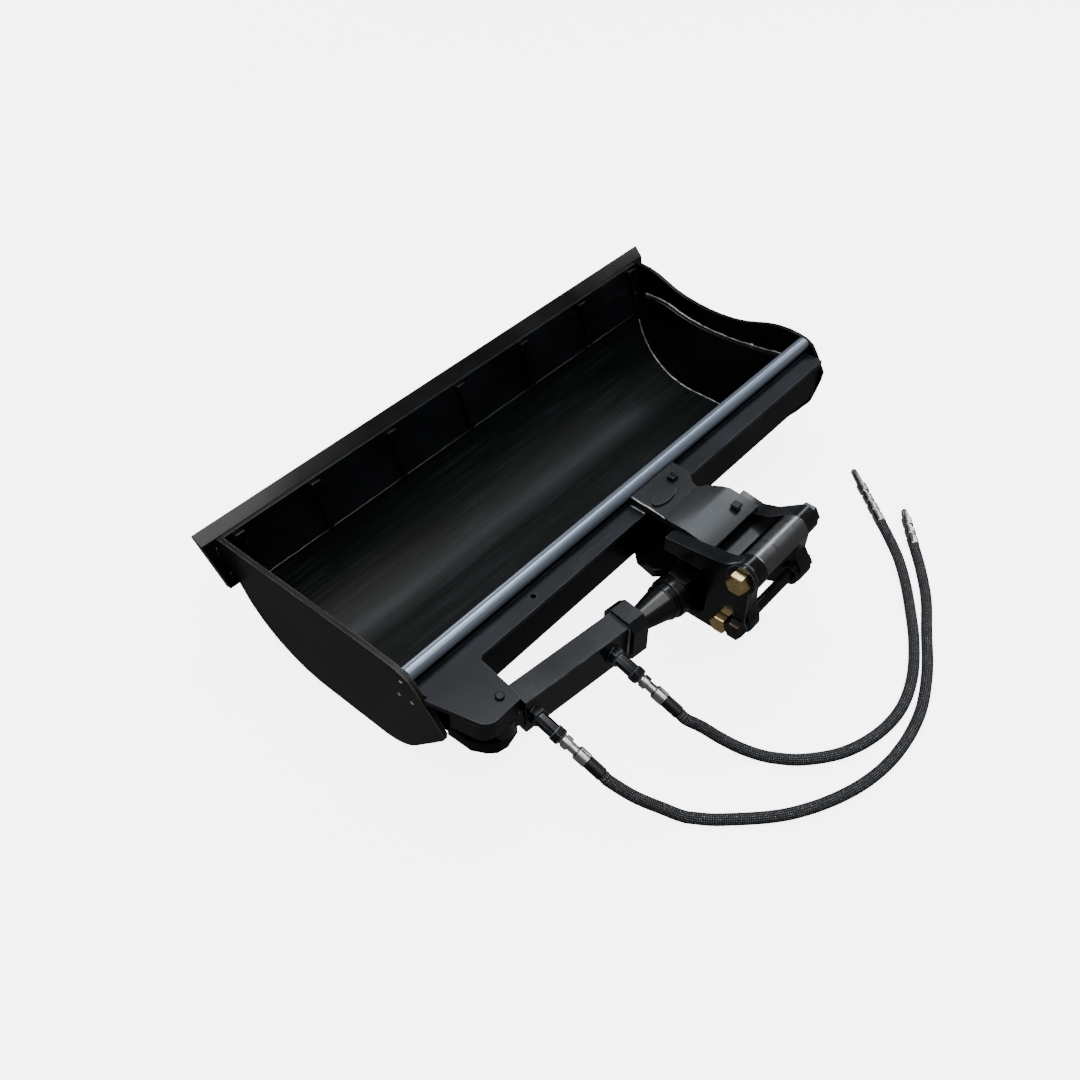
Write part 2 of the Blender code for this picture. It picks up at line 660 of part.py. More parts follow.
def makeHitchPins():
    strapX = earLeftOut - gap
    face = strapX - strapThick - gap
    far = earRightOut + gap
    one = rod("pin_one", (face - nutHigh * pinInNut, pinOneY, pinOneZ), (far + 0.006, pinOneY, pinOneZ), pinOneR, "gold_zinc")
    weldOn(one, hexNut("pin_one_head", (far, pinOneY, pinOneZ), (1, 0, 0), nutFlat, 0.012, None, home=cutters))
    ring("pin_one_sleeve", (earLeftIn + 0.0005, pinOneY, pinOneZ), (earRightIn - 0.0005, pinOneY, pinOneZ),
         pinOneR + slack, sleeveR, "bright_steel", 56)
    two = rod("pin_two", (face - nutHigh * pinInNut, pinTwoY, pinTwoZ), (far + 0.006, pinTwoY, pinTwoZ), pinTwoR, "dark_steel")
    weldOn(two, hexNut("pin_two_head", (far, pinTwoY, pinTwoZ), (1, 0, 0), 0.024, 0.012, None, home=cutters))
    top = arc(pinOneY, pinOneZ, 0.023, -50, 230, 22)
    low = arc(pinTwoY, pinTwoZ, 0.0135, 130, 410, 18)
    strap = prism("keeper_strap", top + low, strapX - strapThick, strapX, "satin_paint")
    drill(strap, (-0.1, pinOneY, pinOneZ), (0, pinOneY, pinOneZ), pinOneR + slack)
    drill(strap, (-0.1, pinTwoY, pinTwoZ), (0, pinTwoY, pinTwoZ), pinTwoR + slack)
    hexNut("pin_one_nut", (face, pinOneY, pinOneZ), (-1, 0, 0), nutFlat, nutHigh, "gold_zinc", pinOneR + slack)
    hexNut("pin_two_nut", (face, pinTwoY, pinTwoZ), (-1, 0, 0), 0.026, nutHigh, "dark_steel", pinTwoR + slack)
    stop = hexNut("stop_bolt", (earLeftOut - gap, studY, studZ), (-1, 0, 0), 0.026, 0.014, "gold_zinc")
    weldOn(stop, rod("stop_shank", (earLeftIn - 0.0065, studY, studZ), (earLeftOut - 0.004, studY, studZ), 0.006,
                     None, 24, cutters))


# ---- tilt cylinder

def cylBlock(name, s0, s1, wide, tall, material, chamfer=0.0):
    w, h, c = wide / 2, tall / 2, chamfer
    if c:
        outline = [(-w, -h + c), (-w, h - c), (-w + c, h), (w - c, h), (w, h - c), (w, -h + c), (w - c, -h), (-w + c, -h)]
    else:
        outline = [(-w, -h), (-w, h), (w, h), (w, -h)]
    verts = [cylPoint(s, t, cylZ + v) for s in (s0, s1) for t, v in outline]
    count = len(outline)
    faces = [tuple(range(count)), tuple(range(2 * count - 1, count - 1, -1))]
    for i in range(count):
        j = (i + 1) % count
        faces.append((i, j, count + j, count + i))
    return addMesh(name, verts, faces, material)


def makeBarrel():
    box = cylBlock("barrel_box", boxStart, boxEnd, boxWide, boxTall, "black_paint", 0.0012)
    drill(box, cylPoint(boxStart + 0.012), cylPoint(boxEnd + 0.004), boreR)
    eye = [(footEyeR * math.cos(math.radians(a)), footEyeR * math.sin(math.radians(a))) for a in range(40, 321, 14)]
    eye = eye + [(boxStart - gap, -0.0155), (boxStart - gap, 0.0155)]
    verts = [cylPoint(s, t, cylZ + v) for v in (-footEyeTall / 2, footEyeTall / 2) for s, t in eye]
    count = len(eye)
    faces = [tuple(range(count)), tuple(range(2 * count - 1, count - 1, -1))]
    for i in range(count):
        j = (i + 1) % count
        faces.append((i, j, count + j, count + i))
    foot = addMesh("barrel_foot", verts, faces, "black_paint")
    drill(foot, (footX, footY, cylZ - 0.03), (footX, footY, cylZ + 0.03), footPinR + 0.0026)
    ring("foot_bush", (footX, footY, cylZ - footEyeTall / 2), (footX, footY, cylZ + footEyeTall / 2),
         footPinR + slack, footPinR + 0.0023, "bronze")
    gland = cylBlock("barrel_gland", boxEnd + gap, boxEnd + gap + glandLong, glandWide, glandTall, "black_paint", 0.012)
    drill(gland, cylPoint(boxEnd - 0.004), cylPoint(boxEnd + glandLong + 0.004), rodR + slack)
    drill(gland, cylPoint(boxEnd + glandLong - 0.0055), cylPoint(boxEnd + glandLong + 0.004), 0.0130)
    seal = boxEnd + gap + glandLong
    ring("rod_wiper", cylPoint(seal - 0.0054), cylPoint(seal - 0.0002), rodR + slack, 0.0127, "seal_rubber")


def makeRod():
    rod("piston_rod", cylPoint(0.046), cylPoint(0.352), rodR, "chrome_rod")
    ring("piston", cylPoint(0.048), cylPoint(0.058), rodR + slack, boreR - slack, "bright_steel")
    step = 0.0007
    cone = [(coneStart, rodR + slack), (coneStart, coneSmallR - step), (coneStart + step, coneSmallR)]
    cone += [(coneEnd, coneBigR), (coneEnd, collarR - step), (coneEnd + step, collarR)]
    cone += [(collarEnd - step, collarR), (collarEnd, collarR - step), (collarEnd, ringR - step)]
    cone += [(collarEnd + step, ringR), (ringEnd - step, ringR), (ringEnd, ringR - step), (ringEnd, rodR + slack)]
    lathe("cone_guard", cone, cylPoint(0), along, "black_paint", closed=True)
    eye = [(ringEnd + gap, -eyeNeck), (ringEnd + gap, eyeNeck)]
    for a in range(140, -141, -14):
        eye.append((cylSpan + eyeR * math.cos(math.radians(a)), eyeR * math.sin(math.radians(a))))
    verts = [cylPoint(s, t, cylZ + v) for v in (-eyeTall / 2, eyeTall / 2) for s, t in eye]
    count = len(eye)
    faces = [tuple(range(count)), tuple(range(2 * count - 1, count - 1, -1))]
    for i in range(count):
        j = (i + 1) % count
        faces.append((i, j, count + j, count + i))
    piece = addMesh("rod_eye", verts, faces, "black_paint")
    drill(piece, cylPoint(ringEnd - 0.004), cylPoint(0.3525), rodR + slack)
    slot = []
    for a in range(0, 360, 15):
        side = eyeSlack if a < 180 else -eyeSlack
        if a in (0, 180):
            slot.append((cylSpan + (rodPinR + 0.0008) * math.cos(math.radians(a)), side))
            slot.append((cylSpan + (rodPinR + 0.0008) * math.cos(math.radians(a)), -side))
            continue
        slot.append((cylSpan + (rodPinR + 0.0008) * math.cos(math.radians(a)),
                     side + (rodPinR + 0.0008) * math.sin(math.radians(a))))
    slot.sort(key=lambda p: math.atan2(p[1], p[0] - cylSpan))
    low = [cylPoint(s, t, cylZ - eyeTall) for s, t in slot]
    high = [cylPoint(s, t, cylZ + eyeTall) for s, t in slot]
    n = len(slot)
    walls = [(i, (i + 1) % n, n + (i + 1) % n, n + i) for i in range(n)]
    slotCutter = addMesh("rod_eye_slot", low + high, [tuple(range(n)), tuple(range(2 * n - 1, n - 1, -1))] + walls,
                         None, home=cutters)
    cut(piece, slotCutter)


# ---- ports, hoses and couplers

fitting = Vector((fittingAcross, -1.0, -fittingDown)).normalized()


def tube(name, points, radius, material, resolution=3):
    curve = bpy.data.curves.new(name, "CURVE")
    curve.dimensions = "3D"
    curve.bevel_depth = radius
    curve.bevel_resolution = resolution
    curve.use_fill_caps = True
    spline = curve.splines.new("POLY")
    spline.points.add(len(points) - 1)
    for k, p in enumerate(points):
        spline.points[k].co = (p[0], p[1], p[2], 1)
    holder = bpy.data.objects.new(name + "_line", curve)
    scene.collection.objects.link(holder)
    bpy.context.view_layer.update()
    mesh = bpy.data.meshes.new_from_object(holder.evaluated_get(bpy.context.evaluated_depsgraph_get()))
    bpy.data.objects.remove(holder, do_unlink=True)
    built = bmesh.new()
    built.from_mesh(mesh)
    bmesh.ops.remove_doubles(built, verts=built.verts, dist=0.00001)
    bmesh.ops.recalc_face_normals(built, faces=built.faces)
    built.to_mesh(mesh)
    built.free()
    mesh.materials.clear()
    mesh.materials.append(madeMaterials[material])
    for polygon in mesh.polygons:
        polygon.use_smooth = True
    piece = bpy.data.objects.new(name, mesh)
    pieces.objects.link(piece)
    return piece


def smoothPath(route, count):
    # an even reading of a Catmull-Rom curve through the route points
    pts = [Vector(p) for p in route]
    pts = [pts[0] * 2 - pts[1]] + pts + [pts[-1] * 2 - pts[-2]]
    dense = []
    for i in range(1, len(pts) - 2):
        a, b, c, d = pts[i - 1], pts[i], pts[i + 1], pts[i + 2]
        for k in range(24):
            u = k / 24
            dense.append(0.5 * (2 * b + (c - a) * u + (2 * a - 5 * b + 4 * c - d) * u * u
                                + (3 * b - a - 3 * c + d) * u ** 3))
    dense.append(pts[-2])
    lengths = [0.0]
    for a, b in zip(dense, dense[1:]):
        lengths.append(lengths[-1] + (b - a).length)
    found = []
    k = 0
    for n in range(count):
        want = lengths[-1] * n / (count - 1)
        while k < len(lengths) - 2 and lengths[k + 1] < want:
            k += 1
        share = (want - lengths[k]) / (lengths[k + 1] - lengths[k])
        found.append(dense[k].lerp(dense[k + 1], share))
    return found


floorZ = hoseFloor - shellDepth
outerRoute = [(-0.3407, -0.6297, -0.1525), (-0.3195, -0.6580, -0.1745), (-0.2990, -0.6880, floorZ)]
outerRoute += [(-0.2720, -0.7240, floorZ), (-0.209, -0.784, floorZ), (-0.130, -0.826, floorZ)]
outerRoute += [(-0.048, -0.844, floorZ), (0.040, -0.838, floorZ), (0.118, -0.811, floorZ)]
outerRoute += [(0.190, -0.773, floorZ), (0.250, -0.741, floorZ), (0.300, -0.706, floorZ), (0.3420, -0.6720, floorZ)]
innerRoute = [(-0.2000, -0.6330, -0.1455), (-0.1835, -0.6590, -0.1680), (-0.1660, -0.6860, -0.1865)]
innerRoute += [(-0.1500, -0.7190, floorZ), (-0.1240, -0.7540, floorZ), (-0.078, -0.789, floorZ)]
innerRoute += [(-0.020, -0.809, floorZ), (0.040, -0.812, floorZ), (0.100, -0.797, floorZ), (0.160, -0.768, floorZ)]
innerRoute += [(0.210, -0.736, floorZ), (0.258, -0.702, floorZ), (0.300, -0.667, floorZ), (0.332, -0.633, floorZ)]
innerRoute += [(0.3550, -0.6060, floorZ)]


def makeLine(label, s, route, coupler):
    face = cylPoint(s, -boxWide / 2 - gap)
    bend = cylPoint(s, -boxWide / 2 - 0.020)
    outlet = bend + fitting * 0.030
    turned = [face, cylPoint(s, -boxWide / 2 - 0.014), cylPoint(s, -boxWide / 2 - 0.019) + fitting * 0.003]
    turned += [bend + fitting * 0.010, outlet]
    elbow = tube("port_elbow_" + label, turned, elbowR, "satin_paint", 3)
    weldOn(elbow, hexNut("port_hex_" + label, face, -across, 0.024, 0.013, None, home=cutters))
    weldOn(elbow, hexNut("outlet_hex_" + label, outlet - fitting * 0.013, fitting, 0.023, 0.0125, None, home=cutters))
    first = outlet + fitting * gap
    profile = [(0, 0.0075), (0.003, 0.0075), (0.003, nippleR), (0.012, nippleR), (0.012, 0.0068), (0.024, 0.0068)]
    profile += [(0.024, 0.0078), (0.026, ferruleR), (0.042, ferruleR), (0.043, sleeveEndR), (0.068, sleeveEndR)]
    profile += [(0.069, 0.0080)]
    lathe("hose_end_" + label, profile, first, fitting, "zinc", 28)
    start = first + fitting * (0.069 + gap)
    end = Vector(route[-1])
    path = smoothPath([start, start + fitting * 0.012] + route, 78)
    for point in path:
        point.z = max(point.z, floorZ)
    path[0] = start
    path[1] = start + fitting * (path[1] - start).length
    leave = (path[-1] - path[-2]).normalized()
    path[-1] = end
    tube("hose_" + label, path, hoseR, "hose_sleeve", 3)
    lathe("hose_coupler_" + label, coupler, end + leave * gap, leave, "zinc", 28)


def makeHoses():
    outer = [(0, 0.0080), (0.001, 0.0089), (0.017, 0.0089), (0.019, 0.0076), (0.024, 0.0076), (0.025, 0.0088)]
    outer += [(0.036, 0.0088), (0.037, 0.0064), (0.044, 0.0064), (0.045, 0.0083), (0.062, 0.0083), (0.063, 0.0060)]
    outer += [(0.074, 0.0056), (0.081, 0.0050), (0.083, 0.0036)]
    inner = [(0, 0.0080), (0.001, 0.0089), (0.019, 0.0089), (0.021, 0.0074), (0.027, 0.0074), (0.028, 0.0088)]
    inner += [(0.042, 0.0088), (0.043, 0.0062), (0.050, 0.0062), (0.051, 0.0080), (0.066, 0.0080), (0.067, 0.0060)]
    inner += [(0.074, 0.0060), (0.075, 0.0084), (0.092, 0.0084), (0.093, 0.0060), (0.112, 0.0057), (0.128, 0.0052)]
    inner += [(0.131, 0.0036)]
    makeLine("outer", portS[0], outerRoute, outer)
    makeLine("inner", portS[1], innerRoute, inner)


# ---- assembly

bodies = {
    "head": ["head_ear_left", "head_ear_right", "head_top_plate", "head_bottom_plate", "head_web", "head_tube",
             "tube_bush", "rod_end_pin", "head_cover", "cover_bolt", "pin_one", "pin_two", "keeper_strap",
             "pin_one_nut", "pin_two_nut", "stop_bolt"],
    "sleeve": ["pin_one_sleeve"],
    "barrel": ["barrel_box", "barrel_foot", "foot_bush", "barrel_gland", "rod_wiper", "port_elbow_outer",
               "port_elbow_inner", "hose_end_outer", "hose_end_inner", "hose_outer", "hose_inner",
               "hose_coupler_outer", "hose_coupler_inner"],
    "rod": ["piston_rod", "piston", "cone_guard", "rod_eye"],
}


def pivotEmpty(name, point):
    empty = bpy.data.objects.new(name, None)
    empty.location = Vector(point) + shift
    pieces.objects.link(empty)
    return empty


def hang(empty, names):
    for name in names:
        piece = bpy.data.objects[name]
        piece.parent = empty
        piece.location = piece.location - empty.location


def assemble():
    for piece in list(pieces.objects) + list(cutters.objects):
        if piece.type == "MESH":
            piece.location = shift
    head = pivotEmpty("head_axis", (pivotX, pivotY, cylZ))
    sleeve = pivotEmpty("sleeve_axis", ((earLeftIn + earRightIn) / 2, pinOneY, pinOneZ))
    barrel = pivotEmpty("barrel_axis", (footX, footY, cylZ))
    piston = pivotEmpty("rod_axis", cylPoint(cylSpan))
    hang(head, bodies["head"])
    hang(sleeve, bodies["sleeve"])
    hang(barrel, bodies["barrel"])
    hang(piston, bodies["rod"])
    cutters.hide_render = True


makeMaterials()
makeEdge()
makeFrontPlate()
ribXs = [-ribEndX] + [ribPitch * k for k in (-2, -1, 0, 1, 2)] + [ribEndX]
for number, ribX in enumerate(ribXs, 1):
    makeRib(number, ribX)
makeFloor()
makeSidePlates()
makeLiners()
makeRimBar()
makeBeam()
makeFootLugs()
makeBracket()
makeHeadEars()
makeHeadBody()
makeCover()
makeHitchPins()
makeBarrel()
makeRod()
makeHoses()
assemble()
print("pieces", len([p for p in pieces.objects if p.type == "MESH"]))
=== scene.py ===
import json
import math

import bmesh
import bpy
import numpy as np
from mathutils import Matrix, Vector


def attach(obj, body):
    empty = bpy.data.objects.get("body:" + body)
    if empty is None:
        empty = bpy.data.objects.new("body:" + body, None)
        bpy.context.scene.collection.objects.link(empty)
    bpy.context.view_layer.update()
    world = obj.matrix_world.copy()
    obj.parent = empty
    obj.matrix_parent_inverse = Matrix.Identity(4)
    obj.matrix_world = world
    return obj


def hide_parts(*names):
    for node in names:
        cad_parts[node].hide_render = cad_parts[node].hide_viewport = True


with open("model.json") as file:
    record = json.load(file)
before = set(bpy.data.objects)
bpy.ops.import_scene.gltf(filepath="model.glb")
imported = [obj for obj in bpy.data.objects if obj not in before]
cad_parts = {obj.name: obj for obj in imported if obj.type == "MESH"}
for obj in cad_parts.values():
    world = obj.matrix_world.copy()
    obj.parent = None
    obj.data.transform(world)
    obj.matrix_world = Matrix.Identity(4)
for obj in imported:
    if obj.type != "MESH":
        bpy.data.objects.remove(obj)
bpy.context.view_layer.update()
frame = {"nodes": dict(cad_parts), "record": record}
nodes = frame["nodes"]
record = frame["record"]
scene = bpy.context.scene


def linear(hexColour):
    # sRGB hex to the linear numbers that a shader works in
    parts = [int(hexColour[i:i + 2], 16) / 255 for i in (1, 3, 5)]
    return (*[c / 12.92 if c <= 0.04045 else ((c + 0.055) / 1.055) ** 2.4 for c in parts], 1)


# the camera stands off the left end, behind, looking down at 45 degrees
cameraSettings = {"place": (-1.0295, -0.7715, 1.3173), "turn": -49.18, "down": 45.0, "lens": 38.27}


def makeCamera():
    camera = bpy.data.objects.new("camera", bpy.data.cameras.new("camera"))
    scene.collection.objects.link(camera)
    camera.location = cameraSettings["place"]
    turn = math.radians(cameraSettings["turn"])
    down = math.radians(cameraSettings["down"])
    look = Vector((-math.sin(turn) * math.cos(down), math.cos(turn) * math.cos(down), -math.sin(down)))
    camera.rotation_euler = look.to_track_quat("-Z", "Y").to_euler()
    camera.data.lens = cameraSettings["lens"]
    camera.data.sensor_width = 36
    camera.data.clip_end = 50
    scene.camera = camera


def add(tree, kind, values=None, links=None):
    # a node with its fields and sockets set and its inputs joined
    node = tree.nodes.new(kind)
    for key, value in (values or {}).items():
        if isinstance(key, str) and hasattr(node, key):
            setattr(node, key, value)
        else:
            node.inputs[key].default_value = value
    for key, source in (links or {}).items():
        tree.links.new(source, node.inputs[key])
    return node


def newMaterial(name):
    material = bpy.data.materials.new(name)
    material.use_nodes = True
    tree = material.node_tree
    place = add(tree, "ShaderNodeTexCoord").outputs["Object"]
    return material, tree, tree.nodes["Principled BSDF"], place


def plug(tree, shader, values, links=None):
    for key, value in values.items():
        shader.inputs[key].default_value = value
    for key, source in (links or {}).items():
        tree.links.new(source, shader.inputs[key])


# black enamel looks: besides dust, scuffs and rubbed corners, several looks are lighter, darker or blue-tinted
# copies of one black paint, so their colours carry painted light and painted shade for their group of faces
paints = {
    "gloss": {"colour": "#050506", "dust": "#121417", "worn": "#3c4046", "rough": 0.20, "dusty": 0.55,
              "coat": 0.30, "shine": 0.42, "streak": (1, 1, 1), "wear": 0.55},
    "wall": {"colour": "#050607", "dust": "#15181c", "worn": "#454b53", "rough": 0.22, "dusty": 0.55,
             "coat": 0.30, "shine": 0.45, "streak": (0.05, 1, 1), "wear": 0.5},
    # painted shade: a darker, duller copy of the black enamel for the beam's rear face, the right side plate and
    # the foot lug plate
    "shade": {"colour": "#040405", "dust": "#0b0c0e", "worn": "#2a2d31", "rough": 0.34, "dusty": 0.5,
              "coat": 0.0, "shine": 0.16, "streak": (0.1, 1, 1), "wear": 0.5},
    # painted reflection: a lighter, warmer copy of the black enamel on the left side plate's outer face, standing
    # in for the white floor reflected there
    "end_plate_painted_floor_reflection": {"colour": "#171614", "dust": "#25241f", "worn": "#8d8c88", "rough": 0.40, "dusty": 0.7,
                 "coat": 0.0, "shine": 0.30, "streak": (1, 0.15, 0.6), "wear": 0.85},
    # painted light: a lighter copy of the black enamel for the bracket lugs, pins, lock plate and cover bolt
    "satin_painted_light": {"colour": "#131415", "dust": "#222426", "worn": "#8b8e92", "rough": 0.36, "dusty": 0.6,
              "coat": 0.0, "shine": 0.36, "streak": (1, 1, 1), "wear": 0.8},
    # painted sheen: the blue tint of this look stands in for a bluish sheen on the head and barrel parts
    "cover": {"colour": "#07090c", "dust": "#12161b", "worn": "#8b919a", "rough": 0.24, "dusty": 0.6,
              "coat": 0.2, "shine": 0.42, "streak": (1, 1, 1), "wear": 0.8},
    # painted reflection: a lighter, blue-tinted copy of the black enamel, a bluish sky reflected in the beam's top
    # plate
    "beam_top_painted_sky_tint": {"colour": "#0b0e13", "dust": "#171c24", "worn": "#727985", "rough": 0.34, "dusty": 0.6,
              "coat": 0.05, "shine": 0.34, "streak": (0.08, 1, 1), "wear": 0.7},
}


def sprayedPaint(name, look):
    # two-pack enamel sprayed on rolled plate: soft dust drifts, a faint orange peel, rubbed corners
    values = paints[look]
    material, tree, shader, place = newMaterial(name)
    drift = add(tree, "ShaderNodeTexNoise", {"Scale": 9, "Detail": 3, "Roughness": 0.5}, {"Vector": place})
    streaked = add(tree, "ShaderNodeMapping", {"Scale": values["streak"]}, {"Vector": place})
    lines = add(tree, "ShaderNodeTexNoise", {"Scale": 90, "Detail": 5, "Roughness": 0.65},
                {"Vector": streaked.outputs["Vector"]})
    peel = add(tree, "ShaderNodeTexNoise", {"Scale": 240, "Detail": 1}, {"Vector": place})
    sag = add(tree, "ShaderNodeTexNoise", {"Scale": 26, "Detail": 1}, {"Vector": place})
    dusty = add(tree, "ShaderNodeMapRange", {"From Min": 0.36, "From Max": 0.70, "To Max": values["dusty"]},
                {"Value": drift.outputs["Fac"]})
    base = add(tree, "ShaderNodeMix", {"data_type": "RGBA", 6: linear(values["colour"]),
                                       7: linear(values["dust"])},
               {0: dusty.outputs["Result"]})
    scuffed = add(tree, "ShaderNodeMapRange", {"From Min": 0.62, "From Max": 0.82, "To Max": 0.20},
                  {"Value": lines.outputs["Fac"]})
    base = add(tree, "ShaderNodeMix", {"data_type": "RGBA", 7: linear(values["worn"])},
               {0: scuffed.outputs["Result"], 6: base.outputs[2]})
    # the normal turns away from its softened self only near a corner
    soft = add(tree, "ShaderNodeBevel", {"samples": 4, "Radius": 0.0016})
    geometry = add(tree, "ShaderNodeNewGeometry")
    near = add(tree, "ShaderNodeVectorMath", {"operation": "DOT_PRODUCT"},
               {0: soft.outputs[0], 1: geometry.outputs["Normal"]})
    corner = add(tree, "ShaderNodeMapRange", {"From Min": 0.99, "From Max": 0.88, "To Max": values["wear"]},
                 {"Value": near.outputs["Value"]})
    patchy = add(tree, "ShaderNodeMapRange", {"From Min": 0.38, "From Max": 0.62, "To Min": 0.35},
                 {"Value": sag.outputs["Fac"]})
    rubbed = add(tree, "ShaderNodeMath", {"operation": "MULTIPLY"},
                 {0: corner.outputs["Result"], 1: patchy.outputs["Result"]})
    base = add(tree, "ShaderNodeMix", {"data_type": "RGBA", 7: linear(values["worn"])},
               {0: rubbed.outputs[0], 6: base.outputs[2]})
    gloss = add(tree, "ShaderNodeMapRange", {"From Min": 0.3, "From Max": 0.75,
                                             "To Min": values["rough"] - 0.04,
                                             "To Max": values["rough"] + 0.10}, {"Value": drift.outputs["Fac"]})
    fine = add(tree, "ShaderNodeBump", {"Strength": 0.10, "Distance": 0.0001},
               {"Height": peel.outputs["Fac"]})
    wave = add(tree, "ShaderNodeBump", {"Strength": 0.22, "Distance": 0.0006},
               {"Height": sag.outputs["Fac"], "Normal": fine.outputs["Normal"]})
    plug(tree, shader, {"Specular IOR Level": values["shine"], "Coat Weight": values["coat"],
                        "Coat Roughness": 0.12},
         {"Base Color": base.outputs[2], "Roughness": gloss.outputs["Result"],
          "Normal": wave.outputs["Normal"]})
    return material


def rolledFloor(name):
    # enamel over mill-marked plate: long drawn streaks along the width and a low sheen
    material, tree, shader, place = newMaterial(name)
    drawn = add(tree, "ShaderNodeMapping", {"Scale": (0.03, 1, 1)}, {"Vector": place})
    streak = add(tree, "ShaderNodeTexNoise", {"Scale": 200, "Detail": 6, "Roughness": 0.68},
                 {"Vector": drawn.outputs["Vector"]})
    broad = add(tree, "ShaderNodeTexNoise", {"Scale": 34, "Detail": 4}, {"Vector": drawn.outputs["Vector"]})
    cloud = add(tree, "ShaderNodeTexNoise", {"Scale": 7, "Detail": 3}, {"Vector": place})
    mark = add(tree, "ShaderNodeMapRange", {"From Min": 0.46, "From Max": 0.76},
               {"Value": streak.outputs["Fac"]})
    share = add(tree, "ShaderNodeMapRange", {"From Min": 0.36, "From Max": 0.68, "To Min": 0.15,
                                             "To Max": 0.70},
                {"Value": cloud.outputs["Fac"]})
    amount = add(tree, "ShaderNodeMath", {"operation": "MULTIPLY"},
                 {0: mark.outputs["Result"], 1: share.outputs["Result"]})
    base = add(tree, "ShaderNodeMix", {"data_type": "RGBA", 6: linear("#070808"), 7: linear("#2b2f33")},
               {0: amount.outputs[0]})
    gloss = add(tree, "ShaderNodeMapRange", {"From Min": 0.3, "From Max": 0.7, "To Min": 0.30,
                                             "To Max": 0.44},
                {"Value": broad.outputs["Fac"]})
    fine = add(tree, "ShaderNodeBump", {"Strength": 0.35, "Distance": 0.00012},
               {"Height": streak.outputs["Fac"]})
    wave = add(tree, "ShaderNodeBump", {"Strength": 0.25, "Distance": 0.0007},
               {"Height": broad.outputs["Fac"], "Normal": fine.outputs["Normal"]})
    plug(tree, shader, {"Specular IOR Level": 0.20},
         {"Base Color": base.outputs[2], "Roughness": gloss.outputs["Result"],
          "Normal": wave.outputs["Normal"]})
    return material


metals = {
    # the rim bar is rubbed bare steel, and the blue tint of its colour is a painted bluish reflection
    "bar": {"colour": "#a3b0c2", "dirt": "#1b2027", "rough": 0.27, "soiled": 0.40, "metal": 0.75,
            "marks": (0.03, 1, 1)},
    "chrome": {"colour": "#c9ccce", "dirt": "#2a2a2a", "rough": 0.10, "soiled": 0.1, "metal": 1.0,
               "marks": (1, 1, 1)},
    "turned": {"colour": "#8f9092", "dirt": "#3c3b39", "rough": 0.27, "soiled": 0.15, "metal": 1.0,
               "marks": (1, 0.04, 0.04)},
    "zinc": {"colour": "#d3d4d2", "dirt": "#3a3936", "rough": 0.20, "soiled": 0.3, "metal": 1.0,
             "marks": (1, 1, 1)},
    "gold": {"colour": "#f4d49a", "dirt": "#5a4016", "rough": 0.20, "soiled": 0.28, "metal": 1.0,
             "marks": (1, 1, 1)},
    "oiled": {"colour": "#57504a", "dirt": "#1b1613", "rough": 0.40, "soiled": 0.5, "metal": 1.0,
              "marks": (1, 1, 1)},
    "bronze": {"colour": "#a5793f", "dirt": "#3a2a14", "rough": 0.40, "soiled": 0.3, "metal": 1.0,
               "marks": (1, 1, 1)},
    # this light steel also makes the beads along the liner top edges and the lug's left edge, which are painted
    # highlight lines
    "weld": {"colour": "#b4b6b6", "dirt": "#232425", "rough": 0.32, "soiled": 0.8, "metal": 0.75,
             "marks": (1, 1, 1)},
}


def bareMetal(name, look):
    # turned, plated or rubbed-bare steel: fine tool marks, grime in soft patches
    values = metals[look]
    material, tree, shader, place = newMaterial(name)
    drawn = add(tree, "ShaderNodeMapping", {"Scale": values["marks"]}, {"Vector": place})
    marks = add(tree, "ShaderNodeTexNoise", {"Scale": 1400, "Detail": 3}, {"Vector": drawn.outputs["Vector"]})
    cloud = add(tree, "ShaderNodeTexNoise", {"Scale": 80, "Detail": 4}, {"Vector": drawn.outputs["Vector"]})
    grime = add(tree, "ShaderNodeMapRange", {"From Min": 0.45, "From Max": 0.72, "To Max": values["soiled"]},
                {"Value": cloud.outputs["Fac"]})
    base = add(tree, "ShaderNodeMix", {"data_type": "RGBA", 6: linear(values["colour"]),
                                       7: linear(values["dirt"])},
               {0: grime.outputs["Result"]})
    gloss = add(tree, "ShaderNodeMapRange", {"From Min": 0.3, "From Max": 0.7,
                                             "To Min": values["rough"] - 0.04,
                                             "To Max": values["rough"] + 0.10}, {"Value": cloud.outputs["Fac"]})
    fine = add(tree, "ShaderNodeBump", {"Strength": 0.25, "Distance": 0.00004},
               {"Height": marks.outputs["Fac"]})
    plug(tree, shader, {"Metallic": values["metal"]},
         {"Base Color": base.outputs[2], "Roughness": gloss.outputs["Result"],
          "Normal": fine.outputs["Normal"]})
    return material


